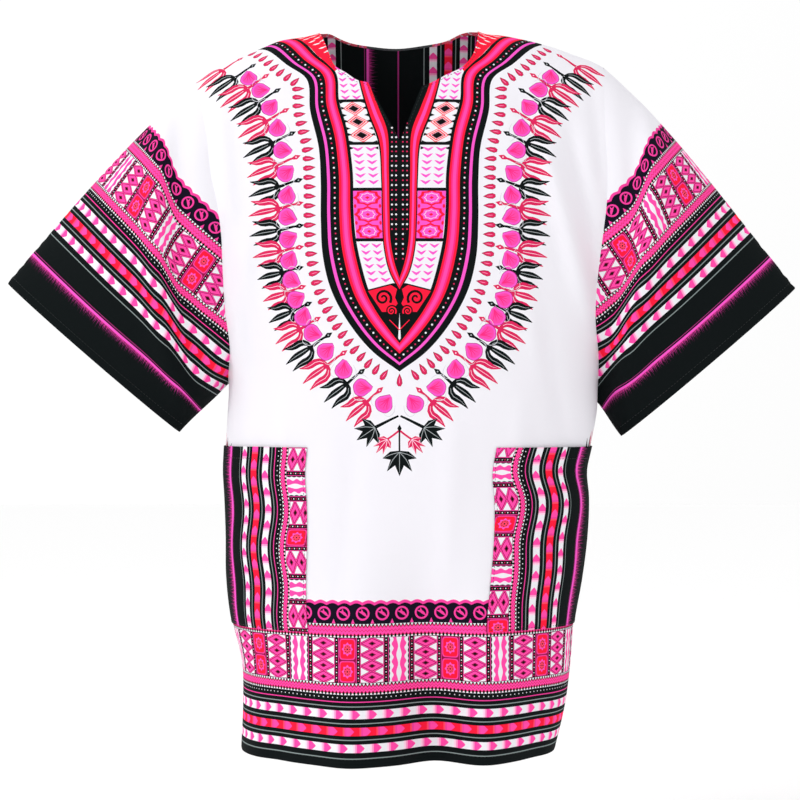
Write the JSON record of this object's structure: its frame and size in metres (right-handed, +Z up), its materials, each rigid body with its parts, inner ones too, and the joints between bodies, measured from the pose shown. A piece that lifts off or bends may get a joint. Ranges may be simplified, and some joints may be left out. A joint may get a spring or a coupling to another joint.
{
  "type": "dashiki shirt",
  "caption": "Loose short-sleeved pullover shirt of printed cotton, worn shape and hollow, with a slit neck, wide sleeves, patch pockets and border prints.",
  "frame": {"origin": "middle of the neck opening, level with where the shoulder seams meet the neck", "axes": "+Z up, the front of the shirt faces -Y, +X to the right as seen from the front"},
  "size_m": [0.8303, 0.2744, 0.7546],
  "materials": {
    "printed_cotton": "matte",
    "border_cotton": "matte"
  },
  "bodies": {
    "root": {"front": "printed_cotton", "back": "printed_cotton", "sleeve_left": "printed_cotton", "sleeve_right": "printed_cotton", "pocket_left": "border_cotton", "pocket_right": "border_cotton", "neck_facing": "border_cotton"}
  },
  "joints": []
}
